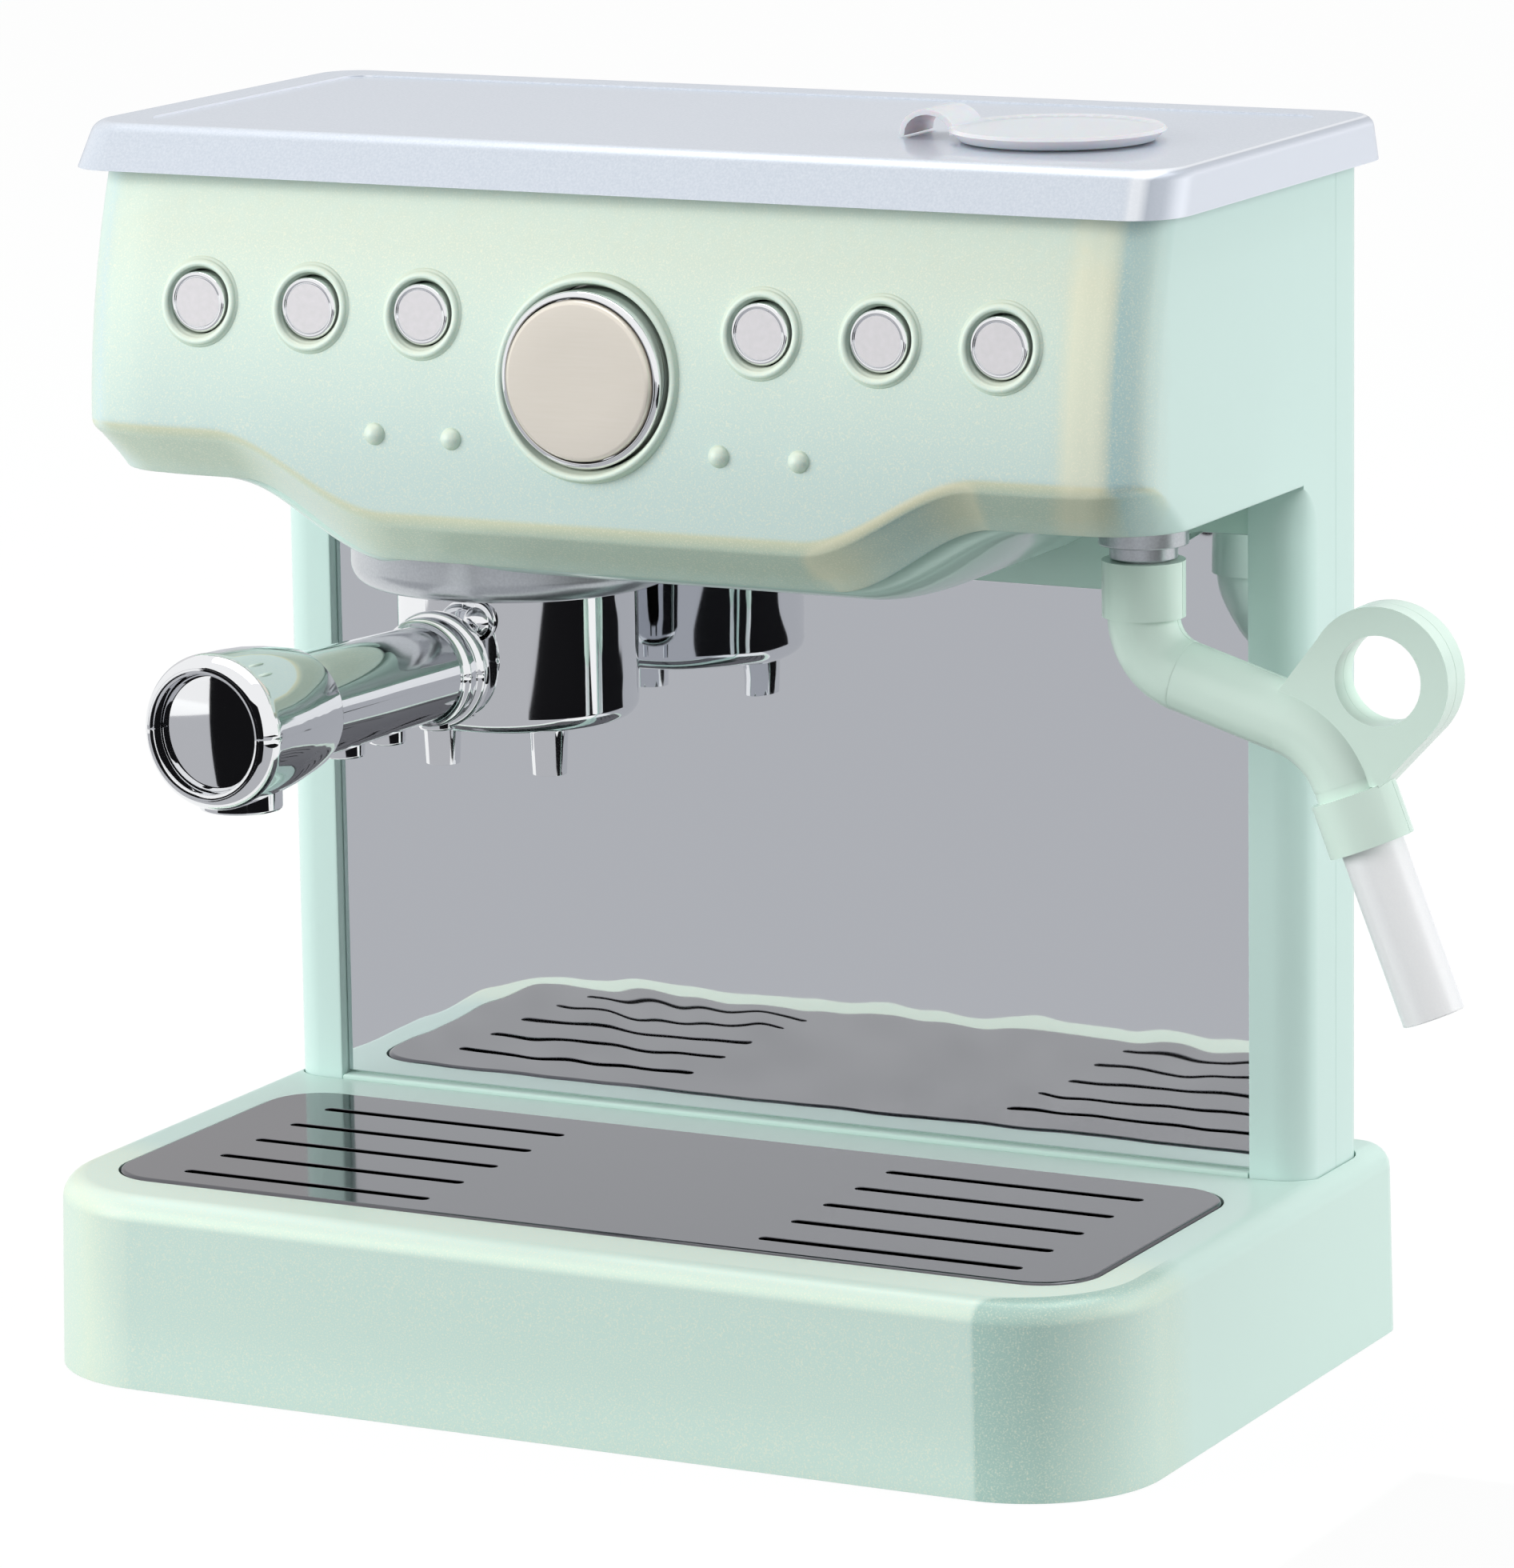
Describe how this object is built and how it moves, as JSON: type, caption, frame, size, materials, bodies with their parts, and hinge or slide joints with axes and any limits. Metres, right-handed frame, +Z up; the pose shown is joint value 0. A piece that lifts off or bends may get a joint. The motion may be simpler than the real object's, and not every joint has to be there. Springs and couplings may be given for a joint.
{
  "type": "toy coffee maker",
  "caption": "Toy espresso machine with push buttons, a twisting portafilter, a swivelling steam wand, a lift-off drip grille and a tank with a hinged fill plug.",
  "frame": {"origin": "centre of the base's footprint, on the face that it stands on", "axes": "+X to the right seen from the front, +Y from the front to the back, +Z up"},
  "size_m": [0.2592, 0.1751, 0.2353],
  "materials": {
    "mint_paint": "pearl mint paint on moulded plastic",
    "mint_plastic": "glossy mint plastic",
    "wand_mint": "glossy mint plastic",
    "lid_silver": "pale silver lacquer on plastic",
    "silicone": "soft translucent silicone",
    "clear_plastic": "natural plastic",
    "white_plastic": "natural plastic",
    "plated": "bright plating on plastic",
    "dark_chrome": "dark bright plating on plastic",
    "cap_silver": "warm silver cap",
    "satin_silver": "satin silver",
    "pearl_white": "pearl white plastic",
    "mirror": "thin mirror sheet",
    "steel": "zinc-plated steel"
  },
  "bodies": {
    "housing": {"base_shell": "mint_paint", "bottom_cover": "mint_plastic", "bottom_screws": "steel", "front_shell": "mint_paint", "inner_wall": "mint_plastic", "mirror_sheet": "mirror", "body_screws": "steel", "back_cover": "mint_plastic", "back_screws": "steel", "top_lid": "lid_silver", "strap_anchor": "silicone", "water_tank": "clear_plastic", "tank_cover": "clear_plastic", "valve_body": "white_plastic", "outlet_hose": "silicone", "button_carrier": "white_plastic", "carrier_screws": "steel", "button_spring_1": "steel", "button_spring_2": "steel", "button_spring_3": "steel", "button_spring_4": "steel", "button_spring_5": "steel", "button_spring_6": "steel", "dial_spring": "steel", "group_ring": "satin_silver", "shower_plate": "satin_silver", "wand_socket": "satin_silver"},
    "drip_grille": {"drip_grille": "dark_chrome"},
    "fill_plug": {"fill_plug": "silicone"},
    "button_1": {"button_1": "plated"},
    "button_2": {"button_2": "plated"},
    "button_3": {"button_3": "plated"},
    "button_4": {"button_4": "plated"},
    "button_5": {"button_5": "plated"},
    "button_6": {"button_6": "plated"},
    "dial_button": {"dial_button": "plated", "dial_face": "cap_silver", "valve_plunger": "white_plastic"},
    "portafilter": {"filter_basket": "plated", "handle_top": "plated", "handle_bottom": "plated", "handle_cap": "plated", "handle_screws": "steel"},
    "steam_wand": {"wand_front": "wand_mint", "wand_rear": "wand_mint", "wand_nozzle": "pearl_white"}
  },
  "joints": [
    {"name": "button_1_press", "type": "slide", "parent": "housing", "child": "button_1", "axis": [0, 1, 0], "range_m": [0, 0.002], "stiffness_N_per_m": 300, "springref_m": -0.001, "deforming": ["button_spring_1"]},
    {"name": "button_2_press", "type": "slide", "parent": "housing", "child": "button_2", "axis": [0, 1, 0], "range_m": [0, 0.002], "stiffness_N_per_m": 300, "springref_m": -0.001, "deforming": ["button_spring_2"]},
    {"name": "button_3_press", "type": "slide", "parent": "housing", "child": "button_3", "axis": [0, 1, 0], "range_m": [0, 0.002], "stiffness_N_per_m": 300, "springref_m": -0.001, "deforming": ["button_spring_3"]},
    {"name": "button_4_press", "type": "slide", "parent": "housing", "child": "button_4", "axis": [0, 1, 0], "range_m": [0, 0.002], "stiffness_N_per_m": 300, "springref_m": -0.001, "deforming": ["button_spring_4"]},
    {"name": "button_5_press", "type": "slide", "parent": "housing", "child": "button_5", "axis": [0, 1, 0], "range_m": [0, 0.002], "stiffness_N_per_m": 300, "springref_m": -0.001, "deforming": ["button_spring_5"]},
    {"name": "button_6_press", "type": "slide", "parent": "housing", "child": "button_6", "axis": [0, 1, 0], "range_m": [0, 0.002], "stiffness_N_per_m": 300, "springref_m": -0.001, "deforming": ["button_spring_6"]},
    {"name": "dial_button_press", "type": "slide", "parent": "housing", "child": "dial_button", "axis": [0, 1, 0], "range_m": [0, 0.004], "stiffness_N_per_m": 350, "springref_m": -0.002, "deforming": ["dial_spring"]},
    {"name": "fill_plug_hinge", "type": "hinge", "parent": "housing", "child": "fill_plug", "pos_m": [0.0435, 0.003, 0.2308], "axis": [0, -1, 0], "range_deg": [0, 100]},
    {"name": "wand_swivel", "type": "hinge", "parent": "housing", "child": "steam_wand", "pos_m": [0.086, 0.007, 0.1445], "axis": [0, 0, 1], "range_deg": [-110, 25]},
    {"name": "portafilter_twist", "type": "hinge", "parent": "housing", "child": "portafilter", "pos_m": [-0.0375, -0.002, 0.1445], "axis": [0, 0, 1], "range_deg": [-40, 4]},
    {"name": "grille_lift", "type": "slide", "parent": "housing", "child": "drip_grille", "axis": [0, 0, 1], "range_m": [0, 0.025]}
  ]
}
